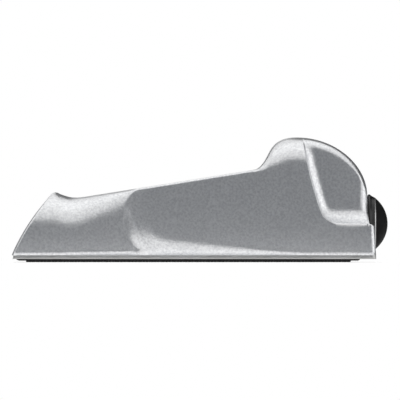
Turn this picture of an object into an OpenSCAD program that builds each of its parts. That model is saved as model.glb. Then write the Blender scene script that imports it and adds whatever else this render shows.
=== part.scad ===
// Palm-sized rasp plane: a die-cast body, a punched rasp blade under its rim, and the screw and
// hook that the knob at its heel turns to pull the blade tight.
// The toe points to -X and the knob to +X. The tips of the teeth stand on z = 0.
// Every piece is drawn with x measured from the toe and z from the underside of the rim,
// and is then moved into place as a whole.

/* [Body] */
// Length from the toe to the outer face of the rear wall
body_l = 144.2; // [140:0.2:150]
// Width over the lip that runs round the rim
body_w = 45; // [44:0.5:50]
// Thickness of the casting's walls
wall = 2.5; // [2:0.1:3]
// Height of the lip
lip_h = 1.5; // [1:0.1:2]
// How far the lip stands out from the wall above it
lip_out = 1; // [0.6:0.1:1.4]
// Height of the cove between the lip's ledge and the walls
ledge_h = 1.7; // [1.4:0.1:2]
// Slope of the side walls in degrees
side_draft = 1.2; // [0:0.1:2]
// How far the top is higher along its middle than at its edges
crown = 0.6; // [0.2:0.1:1]

/* [Nose] */
// Distance of the nose's tip from the toe
tip_x = 18; // [15:0.5:22]
// Height of the nose's tip above the rim
tip_h = 27; // [25:0.5:30]
// Distance of the thumb dip from the toe
dip_x = 25.7; // [24:0.1:28]
// Height of the thumb dip above the rim
dip_h = 24.9; // [23:0.1:26]
// Height of the nose's arched shoulders at the tip
nose_r = 14; // [12:0.5:18]
// How far the nose's sides draw in towards the waist
nose_taper = 2; // [0:0.1:2.2]
// How far the front face bows forward in plan
nose_bow = 0.8; // [0.2:0.1:1.5]
// Rounding of the edges of the front face
nose_edge = 0.9; // [0.5:0.1:1.5]

/* [Waist] */
// Distance from the toe to the front end of the waist's hollow
waist_x = 45.5; // [40:0.5:50]
// Distance from the toe to where the hollow has run out
waist_end = 119.3; // [115:0.1:125]
// Depth of the hollow on each side
waist_depth = 4.3; // [3:0.1:5]
// Height of the hollow's sloping foot for each millimetre of its depth
foot_spread = 2.2; // [1.8:0.1:2.5]
// Rounding of the waist's top edges
waist_edge = 1; // [0.8:0.1:2]

/* [Palm rest and neck] */
// Distance from the toe to the foot of the palm rest
heel_x = 97.8; // [94:0.1:100]
// Height of the top at the foot of the palm rest
heel_h = 36.1; // [34:0.1:38]
// Distance from the toe to the crest of the palm rest
crest_x = 115.6; // [113:0.1:118]
// Height of the crest above the rim
crest_h = 49.3; // [46:0.1:52]
// Height at which the back of the neck turns upright
rear_h = 26; // [22:0.5:30]
// Rounding of the palm rest's shoulders
palm_r = 10; // [6:0.5:12]
// Height of the shelf at the foot of the scoops
shelf_h = 14.2; // [12:0.1:16]
// Depth of the scoop on each side of the neck
scoop_depth = 5.2; // [3:0.1:6]
// Height of the cove at the foot of each scoop
scoop_cove = 6; // [4:0.1:7]
// Rounding of the neck's top edges
neck_edge = 3.2; // [2:0.1:4]
// Rounding of the neck's upright rear corners
neck_corner = 4; // [2:0.1:4.5]
// How far the cheeks reach past the rear wall
cheek_l = 3.5; // [3:0.1:4]
// How far the cheeks' top edges fall towards the rear
cheek_drop = 0.6; // [0:0.1:1]
// Rounding of the cheeks' upright rear edges
cheek_edge = 1.4; // [0.8:0.1:1.5]
// Height of the fillet between the back of the neck and the cheeks
fillet_h = 4.4; // [3:0.1:5]
// How far that fillet reaches past the rear wall
fillet_l = 1.1; // [0.8:0.1:1.3]

/* [Blade] */
// Length of the blade over its roll and its rear flange
blade_l = 140; // [136:1:140]
// Width of the blade over its side flanges
blade_w = 40; // [36:0.5:40]
// Thickness of the blade's sheet
sheet = 0.7; // [0.6:0.05:0.8]
// How far the teeth stand below the sheet
tooth_h = 0.65; // [0.4:0.05:0.8]
// Depth of the blade's underside below the rim
blade_drop = 0.65; // [0.5:0.05:0.8]
// Outer radius of the roll at the blade's front end
roll_r = 2.1; // [2:0.05:2.2]
// Height of the side flanges over the underside of the sheet
side_flange = 2.15; // [1.8:0.05:2.2]
// Height of the rear flange over the underside of the sheet
rear_flange = 4; // [3:0.1:4.4]
// Spacing of the teeth along the blade
tooth_pitch = 4.6; // [4.2:0.1:6]
// Spacing of the rows of teeth across the blade
row_pitch = 3.4; // [3:0.1:5]
// Radius of the hole behind each tooth
hole_r = 0.85; // [0.6:0.05:1]

/* [Tension gear] */
// Diameter of the tension screw
screw_d = 6; // [5:0.5:6]
// Height of the screw's axis above the rim
axis_h = 14.3; // [13.5:0.1:15]
// How far the hook moves between tight and loose
travel = 4; // [3:0.5:5]
// Thickness of the hook's steel
hook_t = 1.8; // [1.5:0.1:2]
// Width of the hook
hook_w = 16; // [12:0.5:16]
// Length of the hook's arm, from the back of its tab to the back of its lip
arm_l = 10.55; // [9:0.05:12]
// Height of the hook's tab over the screw's axis
tab_rise = 6.5; // [5:0.5:8]
// Thickness of the nut
nut_t = 3.5; // [3:0.1:4]
// Width of the nut across its flats
nut_w = 10; // [9:0.5:11]
// Diameter of the release spring's wire
wire_d = 0.9; // [0.7:0.05:1.1]
// Mean radius of the release spring
spring_r = 4.4; // [4.2:0.1:4.8]
// Turns of the release spring
spring_turns = 5; // [4:0.5:6]
// Thickness of the ring that stops the hook
clip_t = 1.2; // [0.8:0.1:1.5]
// Outer radius of the ring that stops the hook
clip_r = 4.6; // [4.2:0.1:5]

/* [Knob] */
// Radius of the knob
knob_r = 11.9; // [10.5:0.1:12]
// Length of the knob's wheel, from its front face to its seam with the cap
wheel_l = 2.95; // [2.8:0.05:3.4]
// Radius of the domed rear of the knob
dome_r = 13.3; // [12.9:0.05:13.7]
// Height of the dome over the seam
dome_h = 5.1; // [4.8:0.1:5.6]
// Thickness of the wheel's web between the washer and the screw's head
web = 1.35; // [1.2:0.05:1.5]
// Thickness of the thrust washer
washer_t = 0.8; // [0.6:0.05:1]
// Outer radius of the thrust washer
washer_r = 6; // [5.5:0.1:7]
// Height of the screw's hexagon head
head_h = 3; // [2.5:0.1:3.4]
// Width of the screw's head across its flats
head_w = 10; // [9:0.5:10]

/* [Clearances] */
// Gap between the blade's flanges and the casting
blade_fit = 0.15; // [0.1:0.01:0.2]
// Gap over the blade's side flanges
seat_fit = 0.1; // [0.05:0.01:0.2]
// Radial gap in the roll round the cross bar and in the nut round the screw
turn_fit = 0.06; // [0.03:0.01:0.1]
// Radial gap in the holes that the screw only passes through
pass_fit = 0.25; // [0.2:0.05:0.4]
// Gap between faces that slide or turn past each other
face_fit = 0.06; // [0.05:0.01:0.1]
// Gap between the knob's rim and the cheeks beside it
knob_gap = 1.5; // [1:0.1:2.5]

/* [Hidden] */
$fn = 64;

tiny = 0.02;
half_w = body_w / 2;
lip_round = 0.3;
rim_z = tooth_h + blade_drop;
cheek_end = body_l + cheek_l;
knob_front = body_l + 0.25;
seam_x = knob_front + wheel_l;
overall_l = seam_x + dome_h;
rear_inner = body_l - wall;

// Blade and its cross bar
flange_gap = 0.4;
blade_rear = rear_inner - flange_gap;
blade_front = blade_rear - blade_l;
bar_x = blade_front + roll_r;
bar_z = roll_r - blade_drop;
bar_r = roll_r - sheet - turn_fit;
groove_y = blade_w / 2 + blade_fit;
seat_z = side_flange - blade_drop + seat_fit;
roll_w = blade_w - 6;

// Tension gear, placed from the blade's rear flange forward and from the rear wall outward
hook_rear = blade_rear - sheet - face_fit;
tab_rear = hook_rear - arm_l + hook_t;
tab_front = tab_rear - hook_t;
nut_front = tab_front - nut_t;
clip_rear = nut_front - travel - face_fit;
screw_front = clip_rear - clip_t - 1;
arm_z = axis_h - spring_r - wire_d / 2 - 1.2 - hook_t;
washer_rear = body_l + washer_t;
head_front = washer_rear + face_fit + web;

function clamp(v) = min(1, max(0, v));
function mix(a, b, t) = a + (b - a) * t;
function ease(t) = let (c = clamp(t)) c * c * (3 - 2 * c);
// Rise of a quarter circle: upright at t = 0 and level at t = 1
function cove(t) = sqrt(1 - pow(1 - clamp(t), 2));
// Fall of a quarter circle: level at t = 0 and upright at t = 1
function fall(t) = 1 - sqrt(1 - pow(clamp(t), 2));
// Rise of a bank: a straight slope up to t = straight that then eases out until t = 1
function bank(t, straight) =
    let (c = clamp(t), over = max(0, c - straight))
    2 / (1 + straight) * (c - over * over / (2 * (1 - straight)));

// Top line of the body as knots of distance, height and slope, up to the crest
deck_x = dip_x + 5.3;
deck_h = dip_h + 0.55;
deck_slope = (heel_h - deck_h) / (heel_x - deck_x);
top_knots = [
    [0, lip_h, 4],
    [0.35, lip_h + 1.1, 2.2],
    [tip_x - 2.2, tip_h - 1.1, 1.1],
    [tip_x, tip_h, 0],
    [tip_x + 1.6, tip_h - 0.65, -0.36],
    [dip_x, dip_h, 0],
    [deck_x, deck_h, deck_slope],
    [heel_x, heel_h, deck_slope],
    [crest_x - 11.5, crest_h - 6.1, 1.95],
    [crest_x - 7.9, crest_h - 2, 0.65],
    [crest_x, crest_h, 0]
];
function span_of(x, i = 0) = i < len(top_knots) - 2 && x > top_knots[i + 1][0] ? span_of(x, i + 1) : i;
function knot_curve(x) =
    let (i = span_of(x), a = top_knots[i], b = top_knots[i + 1], w = b[0] - a[0], t = clamp((x - a[0]) / w))
    (2 * t * t * t - 3 * t * t + 1) * a[1] + (t * t * t - 2 * t * t + t) * w * a[2]
    + (3 * t * t - 2 * t * t * t) * b[1] + (t * t * t - t * t) * w * b[2];
function back_curve(x) =
    let (s = clamp((x - crest_x) / (body_l - crest_x)))
    rear_h + (crest_h - rear_h) * pow(1 - s * s, 0.53);
function fillet(x) = fillet_h * pow(1 - clamp((x - body_l) / fillet_l), 1.6);
function cheek_line(x) = shelf_h + fillet(x) - cheek_drop * pow((x - body_l) / cheek_l, 2);
function top_line(x) = x > body_l ? cheek_line(x) : x > crest_x ? back_curve(x) : knot_curve(x);
// The top is crowned on the nose and on the palm rest, and flat between them
function flat_top(x) = ease((x - waist_x - 1) / 5) * (1 - ease((x - heel_x + 2) / 6));
// Height of the top at its edges, which lie under the crown
function edge_line(x) =
    x > body_l ? top_line(x) : top_line(x) - crown * ease((x - tip_x + 3) / 8) * (1 - flat_top(x));

// Half-width of the plain side with its lip
function plain_side(z) = half_w - lip_out - tan(side_draft) * max(0, z - lip_h);
function ledge(z, side) = mix(half_w, side, cove((z - lip_h) / ledge_h));
function lip_side(z) = half_w - lip_round * fall(1 - z / lip_round);
function along_nose(x) = clamp((x - tip_x) / (waist_x - tip_x));
function nose_shoulder(x) = nose_r * mix(1, 0.68, along_nose(x));
function nose_side(x, z) =
    let (
        h = x < tip_x ? tip_h : edge_line(x),
        b = nose_shoulder(x),
        wall_y = ledge(z, plain_side(z) - nose_taper * along_nose(x)),
        face = x < tip_x ? nose_edge * fall((z - top_line(x) + nose_edge) / nose_edge) : 0
    )
    wall_y - mix(0.97, 0.35, along_nose(x)) * b * fall((z - h + b) / b) - face;

// Front end of the waist's hollow at each height: upright, with a round lower and upper corner
waist_mid = 18.3;
// How far the hollow takes to fade in at its upper end, and how much further lower down
fade_in = 2.4;
more_fade = 4;
function waist_start(z) =
    let (low = clamp((waist_mid - z) / (waist_mid - lip_h)), high = clamp((z - waist_mid) / 9.6))
    waist_x + 11.2 * pow(low, 3) - 3.4 * low * (1 - low) + 5.2 * pow(high, 4);
function waist_ramp(x, z) =
    let (low = clamp((waist_mid - z) / (waist_mid - lip_h)))
    bank((x - waist_start(z)) / (fade_in + more_fade * 4 * low * (1 - low)), 0.3);
function top_round(x) =
    mix(mix(waist_edge, palm_r, ease((x - heel_x - 1) / 9)), neck_edge, ease((x - crest_x - 4) / 10));
function waist_side(x, z) =
    let (
        s = clamp((x - waist_x - 6.5) / (waist_end - waist_x - 6.5)),
        depth = waist_depth * (1 - s) * mix(0.65, 1, ease((x - waist_x) / 12)),
        spread = foot_spread * (2.1 - 1.1 * ease((x - waist_x - 1) / 17)),
        r = top_round(x)
    )
    ledge(z, plain_side(z)) - depth * bank((z - lip_h) / (spread * depth + 0.1), 0.1)
    - r * fall((z - edge_line(x) + r) / r);

// Front edge of the scoop at each height: a leaning line that turns level along the shelf
scoop_x = crest_x + 2.7;
scoop_lean = 0.225;
function scoop_start(z) =
    let (low = clamp((21 - z) / (21 - shelf_h)))
    scoop_x + scoop_lean * (crest_h - 2.3 - z) + 5.4 * pow(low, 2.5);
function scoop_ramp(x, z) =
    let (low = clamp((shelf_h + scoop_cove - z) / scoop_cove), run = x - scoop_start(z))
    0.4 * cove(run / 0.5) + 0.6 * bank(run / (4.3 + 1.5 * low), 0.2);
function neck_side(x, z) =
    let (
        edge = x > body_l ? 0 : neck_edge * fall((z - edge_line(x) + neck_edge) / neck_edge),
        corner = neck_corner * ease((z - shelf_h) / (2 * fillet_h))
    )
    plain_side(z) - scoop_depth * bank((z - shelf_h) / scoop_cove, 0.33) - edge
    - corner * fall((x - body_l + neck_corner) / neck_corner);

// Half-width of the body at a distance x from the toe and a height z above the rim
function outer_side(x, z) =
    let (edge = cheek_edge * fall((x - cheek_end + cheek_edge) / cheek_edge))
    z <= lip_h ? lip_side(z) - edge :
    let (front = mix(nose_side(x, z), waist_side(x, z), waist_ramp(x, z)))
    (z > shelf_h ? mix(front, neck_side(x, z), scoop_ramp(x, z)) : front) - edge;

// The cavity lies one wall inside the outer surface, tried in these directions
eighth = sqrt(0.5);
sixth = sqrt(1 / 3);
feelers = concat(
    [[0, 0, 1]],
    [for (i = [-1, 1]) [i, 0, 0]],
    [for (i = [-1, 1]) [0, i, 0]],
    [for (i = [-1, 1]) [i * eighth, 0, eighth]],
    [for (i = [-1, 1]) [0, i * eighth, eighth]],
    [for (i = [-1, 1], j = [-1, 1]) [i * sixth, j * sixth, sixth]]
);
function inner_side(x, z) =
    max(1, min([for (d = feelers)
        outer_side(x + wall * d[0], max(lip_h + 0.3, z + wall * d[1])) - wall * d[2]]));
function core_line(x) = x < 0 || x > body_l ? 0 : edge_line(x);
function inner_top(x) =
    max(0, min([for (a = [-90:15:90]) core_line(x + wall * sin(a)) - wall * cos(a)]));

// Heights of the points up one side at station x, from the rim to the edge of the top
foot_steps = [0.015, 0.07, 0.17, 0.32, 0.52, 0.76, 1];
cove_steps = [0.012, 0.06, 0.16, 0.34, 0.6, 1];
arch_steps = [20, 38, 54, 67, 79, 90];
side_count = 3 + len(foot_steps) + len(cove_steps) + len(arch_steps);
function arch_h(x) =
    x > body_l ? 1 : mix(nose_shoulder(x), top_round(x), ease((x - waist_x) / 8));
function plain_levels(x) =
    let (
        h = edge_line(x),
        arch_z = h - arch_h(x),
        cove_z = x > body_l ? 7 : mix(mix(lip_h, arch_z, 0.45), shelf_h, ease((x - heel_x) / 12))
    )
    concat(
        [0, lip_round, lip_h],
        [for (t = foot_steps) mix(lip_h, cove_z, t)],
        [for (t = cove_steps) mix(cove_z, arch_z, t)],
        [for (a = arch_steps) mix(arch_z, h, sin(a))]
    );
function levels(x) =
    let (h = edge_line(x), plain = plain_levels(max(x, tip_x)), k = (h - lip_h) / (edge_line(tip_x) - lip_h))
    x >= tip_x ? plain :
    [for (i = [0:side_count - 1])
        mix(h * i / (side_count - 1), i < 3 ? plain[i] : lip_h + (plain[i] - lip_h) * k, ease(x / 1.5))];

// Moves the stations onto the slanting edges of the hollow and of the scoop
function slant(x, z) =
    let (
        up = clamp((z - lip_h) / 1.5),
        hollow = ease((x - waist_x + 9) / 9) * (1 - ease((x - waist_x - 3) / 25)),
        scoop_mid = scoop_x + 4,
        scoop = ease((x - scoop_mid + 14) / 14) * (1 - ease((x - scoop_mid - 1) / 19))
    )
    x + up * (hollow * (waist_start(z) - waist_x) + scoop * (scoop_start(z) - scoop_mid));
function bow(x, y) = nose_bow * pow(y / half_w, 2) * (1 - ease(x / 30));
function lean(x, z) = x > body_l ? -0.8 * z / shelf_h * (x - body_l) / cheek_l : 0;
function place(x, y, z) = [x + bow(x, y) + lean(x, z), y, z];

top_steps = [0.8, 0.5, 0.2, 0];
function outer_half(x) =
    let (
        rough = levels(x),
        xs = [for (z = rough) slant(x, z)],
        side = [for (i = [0:side_count - 1])
            let (z = levels(xs[i])[i]) place(xs[i], outer_side(xs[i], z), z)],
        edge = side[side_count - 1],
        end_x = xs[side_count - 1],
        rise = top_line(end_x) - edge_line(end_x)
    )
    concat(side, [for (t = top_steps) place(end_x, edge[1] * t, edge_line(end_x) + rise * (1 - t * t))]);

inner_steps = [0.06, 0.16, 0.3, 0.46, 0.62, 0.78, 0.91, 1];
inner_count = 3 + len(inner_steps);
function inner_half(x) =
    let (h = inner_top(x), seat = min(seat_z, h))
    h < 0.01 ? [for (i = [0:inner_count - 1]) place(x, groove_y * (1 - i / (inner_count - 1)), 0)] :
    let (side = [for (t = inner_steps)
        let (z = mix(seat, h, t)) place(x, min(groove_y - 0.2, inner_side(x, z)), z)])
    concat([place(x, groove_y, 0), place(x, groove_y, seat)], side, [place(x, 0, h)]);

function turn_over(list) = [for (i = [len(list) - 1:-1:0]) list[i]];
function other_side(list) = [for (p = list) [p[0], -p[1], p[2]]];
function without_last(list) = [for (i = [0:len(list) - 2]) list[i]];
function section(x) =
    let (o = outer_half(x), i = inner_half(x))
    concat(o, turn_over(other_side(without_last(o))), other_side(i), turn_over(without_last(i)));

toe_stations = [0, 0.35, 1, 2, 2.9, 3.9, 5.5, 8, 11, 14, 16.2];
stations = concat(
    toe_stations,
    [for (d = [0, 1.6, 4, 7.7, 13, 20]) tip_x + d],
    [for (d = [-3, 0, 0.5, 1.3, 2.4, 4, 6, 9, 13.5, 20, 30, 41]) waist_x + d],
    [for (d = [-1.5, 1, 3, 4.5, 6, 7.5, 9.5, 13]) heel_x + d],
    [for (d = [0, 4.2, 6.7, 7.2, 8, 9, 10.4, 12.5, 15.5, 19]) crest_x + d],
    [rear_inner - 4, rear_inner - 1.5, rear_inner - tiny, rear_inner + tiny],
    [for (d = [1.6, 0.8, 0.25, 0]) body_l - d],
    [for (t = [0, 0.2, 0.5, 1]) body_l + tiny + fillet_l * t],
    [for (t = [0, 0.5, 0.85, 0.97, 1]) cheek_end - cheek_edge * (1 - t)]
);

ring_count = 2 * (side_count + len(top_steps)) - 1 + 2 * inner_count - 1;
outer_count = side_count + len(top_steps);
full_outer = 2 * outer_count - 1;

// A section is closed by a strip between its outer line and its inner line
function partner(j) = round(j * (inner_count - 1) / (outer_count - 1));
function attach(k, j = 0) = partner(j) > k ? j : attach(k, j + 1);
function inner_index(k, side) =
    side > 0 && k < inner_count - 1 ? ring_count - 1 - k : full_outer + k;
function outer_index(j, side) = side > 0 ? j : full_outer - 1 - j;
function flip(t, yes) = yes ? [t[0], t[2], t[1]] : t;
function cap(start, turned) = [for (side = [-1, 1]) each concat(
    [for (j = [0:outer_count - 2])
        flip([start + outer_index(j, side), start + outer_index(j + 1, side),
            start + inner_index(partner(j), side)], (side > 0) != turned)],
    [for (k = [0:inner_count - 2])
        flip([start + inner_index(k, side), start + outer_index(attach(k), side),
            start + inner_index(k + 1, side)], (side > 0) != turned)]
)];

module shell() {
    rings = [for (x = stations) section(x)];
    last = (len(stations) - 1) * ring_count;
    walls = [for (i = [0:len(stations) - 2], j = [0:ring_count - 1])
        let (
            a = i * ring_count + j,
            b = i * ring_count + (j + 1) % ring_count
        )
        each [[a, b + ring_count, b], [a, a + ring_count, b + ring_count]]];
    polyhedron([for (r = rings) each r], concat(walls, cap(0, true), cap(last, false)));
}

// A cylinder along X from x to x + l, about the screw's axis
module axle(x, l, r) {
    translate([x, 0, axis_h]) rotate([0, 90, 0]) cylinder(r = r, h = l);
}

module to_place() {
    translate([-overall_l / 2, 0, rim_z]) children();
}

well_w = 2 * (knob_r + knob_gap);
rib_t = 2;
rib_gap = 0.2;
rib_l = hook_rear - tab_rear + travel;
module body_casting() {
    color("silver") to_place() {
        difference() {
            shell();
            // Room for the blade's roll
            translate([bar_x, 0, bar_z]) rotate([90, 0, 0])
                cylinder(r = roll_r + 0.2, h = roll_w + 1, center = true);
            // Space between the cheeks, where the knob turns
            translate([body_l, -well_w / 2, -1]) cube([cheek_l + 5, well_w, crest_h]);
            axle(rear_inner - 1, wall + 2, screw_d / 2 + pass_fit);
        }
        // Cross bar that the blade hooks onto
        translate([bar_x, 0, bar_z]) rotate([90, 0, 0])
            cylinder(r = bar_r, h = 2 * groove_y + 1, center = true);
        // Ribs that keep the hook from turning
        for (side = [-1, 1])
            translate([
                rear_inner + wall / 2 - rib_l,
                side * (hook_w / 2 + rib_gap + rib_t / 2) - rib_t / 2,
                rear_flange + 0.6
            ])
                cube([rib_l, rib_t, axis_h + tab_rise - rear_flange - 2]);
    }
}

// Plain margins at the blade's ends, and the width of each tooth's edge
front_margin = 3.8;
rear_margin = 3.4;
side_margin = 3;
tooth_edge = 0.12;
row_count = 2 * floor((blade_w / 2 - side_margin) / row_pitch) + 1;
// Each row starts further along than the last, so that no two teeth follow in the same track
row_phases = 11;
function row_shift(row) = (row * 3 % row_phases) / row_phases * tooth_pitch;
function row_start(row) = blade_front + front_margin + hole_r + row_shift(row);
function row_y(row) = (row - (row_count - 1) / 2) * row_pitch;
module along_teeth() {
    for (row = [0:row_count - 1], x = [row_start(row):tooth_pitch:blade_rear - rear_margin - hole_r - 0.5])
        translate([x, row_y(row), -blade_drop]) children();
}

module blade_side_view() {
    inner_r = roll_r - sheet;
    bend = 1.2;
    // Roll at the front end, open towards the rear
    translate([bar_x, bar_z]) difference() {
        circle(r = roll_r);
        circle(r = inner_r);
        polygon([[0, 0], [3 * roll_r, -3 * roll_r], [3 * roll_r, 3 * roll_r], [roll_r, 3 * roll_r]]);
        translate([0, -2 * roll_r]) square(4 * roll_r);
    }
    translate([bar_x, -blade_drop]) square([blade_rear - bend - bar_x, sheet]);
    // Bend up into the rear flange
    translate([blade_rear - bend, bend - blade_drop]) intersection() {
        difference() {
            circle(r = bend);
            circle(r = bend - sheet);
        }
        translate([0, -bend]) square(bend);
    }
    translate([blade_rear - sheet, bend - blade_drop]) square([sheet, rear_flange - bend]);
}

module rasp_blade() {
    flat_start = bar_x + 1.5;
    flat_end = blade_rear - 3;
    flange_start = flat_start + 0.7;
    color([0.12, 0.12, 0.13]) to_place() difference() {
        union() {
            rotate([90, 0, 0]) linear_extrude(roll_w, center = true) blade_side_view();
            translate([flat_start, -blade_w / 2, -blade_drop]) cube([flat_end - flat_start, blade_w, sheet]);
            for (side = [-1, 1])
                translate([flange_start, side * (blade_w - sheet) / 2 - sheet / 2, -blade_drop])
                    cube([flat_end - flange_start, sheet, side_flange]);
            // Cutting lip raised round the rear of each hole, facing the toe
            along_teeth() translate([0, 0, -tooth_h]) rotate([0, 0, -90])
                rotate_extrude(angle = 180, $fn = 24) polygon([
                    [hole_r - 0.15, 0],
                    [hole_r + tooth_edge, 0],
                    [hole_r + 0.5, tooth_h + 0.1],
                    [hole_r - 0.15, tooth_h + 0.1]
                ]);
        }
        along_teeth() translate([0, 0, -tooth_h - 1]) cylinder(r = hole_r, h = tooth_h + sheet + 2, $fn = 24);
    }
}

module tension_hook() {
    color("darkgray") to_place() difference() {
        union() {
            translate([tab_front, -hook_w / 2, arm_z]) cube([hook_t, hook_w, axis_h + tab_rise - arm_z]);
            translate([tab_front, -hook_w / 2, arm_z]) cube([arm_l, hook_w, hook_t]);
            translate([hook_rear - hook_t, -hook_w / 2, 0.4]) cube([hook_t, hook_w, arm_z + hook_t - 0.4]);
        }
        axle(tab_front - 1, hook_t + 2, screw_d / 2 + pass_fit);
    }
}

module hook_nut() {
    color("gold") to_place() difference() {
        translate([nut_front, 0, axis_h]) rotate([0, 90, 0]) rotate([0, 0, 30])
            cylinder(r = nut_w / sqrt(3), h = nut_t, $fn = 6);
        axle(nut_front - 1, nut_t + 2, screw_d / 2 + turn_fit);
    }
}

clip_groove = 0.6;
module tension_screw() {
    color("gainsboro") to_place() difference() {
        union() {
            axle(screw_front, head_front - screw_front + tiny, screw_d / 2);
            translate([head_front, 0, axis_h]) rotate([0, 90, 0]) rotate([0, 0, 30])
                cylinder(r = head_w / sqrt(3), h = head_h, $fn = 6);
        }
        difference() {
            axle(clip_rear - clip_t, clip_t, screw_d);
            axle(clip_rear - clip_t - 1, clip_t + 2, screw_d / 2 - clip_groove);
        }
    }
}

module stop_clip() {
    gap = 3.2;
    inner = screw_d / 2 - clip_groove;
    color("dimgray") to_place() difference() {
        axle(clip_rear - clip_t, clip_t, clip_r);
        axle(clip_rear - clip_t - 1, clip_t + 2, inner);
        translate([clip_rear - clip_t - 1, -gap / 2, axis_h]) cube([clip_t + 2, gap, clip_r + 1]);
    }
}

spring_sides = 6;
spring_steps = 8;
spring_start = tab_rear + wire_d / 2 + face_fit;
spring_end = rear_inner - wire_d / 2 - face_fit;
spring_rings = spring_turns * spring_steps;
// The first and last turns lie flatter than the rest, as on a closed spring
function spring_point(i) =
    let (t = i / spring_rings, a = 360 * i / spring_steps, s = mix(t, ease(t), 0.35))
    [mix(spring_start, spring_end, s), spring_r * cos(a), axis_h + spring_r * sin(a)];
function unit(v) = v / norm(v);
function spring_ring(i) =
    let (
        a = 360 * i / spring_steps,
        out = [0, cos(a), sin(a)],
        p = spring_point(i),
        ahead = unit(spring_point(min(i + 1, spring_rings)) - spring_point(max(i - 1, 0))),
        up = unit(cross(ahead, out))
    )
    [for (k = [0:spring_sides - 1])
        let (b = 360 * k / spring_sides) p + wire_d / 2 * (out * cos(b) + up * sin(b))];
spring_gap = min([for (i = [0:spring_rings], j = [i + spring_steps - 2:1:spring_rings])
    norm(spring_point(i) - spring_point(j))]) - wire_d;
echo(spring_gap_to_itself = spring_gap);

module release_spring() {
    last = spring_rings * spring_sides;
    points = [for (i = [0:spring_rings]) each spring_ring(i)];
    tube = [for (i = [0:spring_rings - 1], k = [0:spring_sides - 1])
        let (a = i * spring_sides + k, b = i * spring_sides + (k + 1) % spring_sides)
        each [[a, b, b + spring_sides], [a, b + spring_sides, a + spring_sides]]];
    ends = [for (k = [1:spring_sides - 2]) each [[0, k + 1, k], [last, last + k, last + k + 1]]];
    color("lightsteelblue") to_place() polyhedron(points, concat(tube, ends));
}

module thrust_washer() {
    color("gold") to_place() difference() {
        axle(body_l, washer_t, washer_r);
        axle(body_l - 1, washer_t + 2, screw_d / 2 + pass_fit);
    }
}

spigot_r = 8.6;
spigot_t = 1.2;
spigot_l = 0.9;
function dome_radius(x) = sqrt(dome_r * dome_r - pow(x - (overall_l - dome_r), 2));
module knob_wheel() {
    rim_x = knob_front + 0.95;
    color([0.1, 0.1, 0.1]) to_place() difference() {
        translate([0, 0, axis_h]) rotate([0, 90, 0]) rotate_extrude()
            polygon(concat(
                [[0, knob_front]],
                [for (a = [0:22.5:90]) [knob_r - 0.95 + 0.95 * sin(a), rim_x - 0.95 * cos(a)]],
                [for (t = [0.25:0.25:1])
                    let (x = mix(rim_x, seam_x, t)) [min(knob_r, dome_radius(x) + 0.25), x]],
                [[0, seam_x]]
            ));
        axle(knob_front - 1, washer_rear + face_fit - knob_front + 1, washer_r + pass_fit);
        axle(knob_front - 1, wheel_l + 2, screw_d / 2 + turn_fit);
        translate([head_front, 0, axis_h]) rotate([0, 90, 0]) rotate([0, 0, 30])
            cylinder(r = (head_w + 2 * turn_fit) / sqrt(3), h = head_h, $fn = 6);
        difference() {
            axle(seam_x - spigot_l - turn_fit, spigot_l + 1, spigot_r + turn_fit);
            axle(seam_x - spigot_l - 1, spigot_l + 2, spigot_r - spigot_t - turn_fit);
        }
    }
}

module knob_cap() {
    pocket_l = head_front + head_h + 0.3 - seam_x;
    color([0.14, 0.14, 0.14]) to_place() difference() {
        translate([0, 0, axis_h]) rotate([0, 90, 0]) rotate_extrude()
            polygon(concat(
                [for (i = [0:12]) let (x = seam_x + dome_h * sin(7.5 * i)) [i == 12 ? 0 : dome_radius(x), x]],
                [[0, seam_x], [spigot_r - spigot_t, seam_x], [spigot_r - spigot_t, seam_x - spigot_l],
                    [spigot_r, seam_x - spigot_l], [spigot_r, seam_x]]
            ));
        axle(seam_x - 1, pocket_l + 1, head_w / sqrt(3) + 0.3);
    }
}

body_casting();
rasp_blade();
tension_hook();
hook_nut();
tension_screw();
stop_clip();
release_spring();
thrust_washer();
knob_wheel();
knob_cap();
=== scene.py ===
"""Looks of the rasp plane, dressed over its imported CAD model.

Everything is in the frame of the model: X from the toe to the knob, Z up, metres in Blender.
The sizes below are in millimetres, with x measured from the toe and z from the rim's underside.
"""

import math

import bmesh
import bpy
import numpy as np
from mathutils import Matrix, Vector


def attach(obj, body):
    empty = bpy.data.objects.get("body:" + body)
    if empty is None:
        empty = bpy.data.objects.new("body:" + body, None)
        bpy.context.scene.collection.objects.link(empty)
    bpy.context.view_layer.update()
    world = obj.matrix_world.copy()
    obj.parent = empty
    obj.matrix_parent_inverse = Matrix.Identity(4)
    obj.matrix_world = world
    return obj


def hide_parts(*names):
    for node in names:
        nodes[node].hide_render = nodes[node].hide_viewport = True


MM = 0.001

# Body
BODY_L = 144.2
BODY_W = 45.0
WALL = 2.5
LIP_H = 1.5
LIP_OUT = 1.0
LEDGE_H = 1.7
LIP_ROUND = 0.3
SIDE_DRAFT = math.radians(1.2)
CROWN = 0.6
TIP_X, TIP_H = 18.0, 27.0
DIP_X, DIP_H = 25.7, 24.9
NOSE_R = 14.0
NOSE_BOW = 0.8
NOSE_EDGE = 0.9
NOSE_TAPER = 2.0
TAPER_BACK = 8.5
SHOULDER_NARROW = 0.68
SHOULDER_TIP, SHOULDER_WAIST = 0.97, 0.35
DECK_RUN, DECK_RISE = 5.3, 0.55

# Waist
WAIST_X, WAIST_END = 45.5, 119.3
FADE_IN, MORE_FADE = 3.4, 3.0
WAIST_MID = 18.3
WAIST_DEPTH = 4.3
FOOT_SPREAD = 2.2
WAIST_EDGE = 1.0
HOLLOW_FOOT, HOLLOW_BELLY, HOLLOW_HEAD, HOLLOW_HEAD_H = 9.5, 3.4, 3.6, 9.6
HOLLOW_FULL = 6.5
HOLLOW_SHALLOW, HOLLOW_DEEPEN = 0.63, 12
FOOT_FLARE, FLARE_L = 1.1, 17
TAPER_BLEND = 0.3

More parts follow.
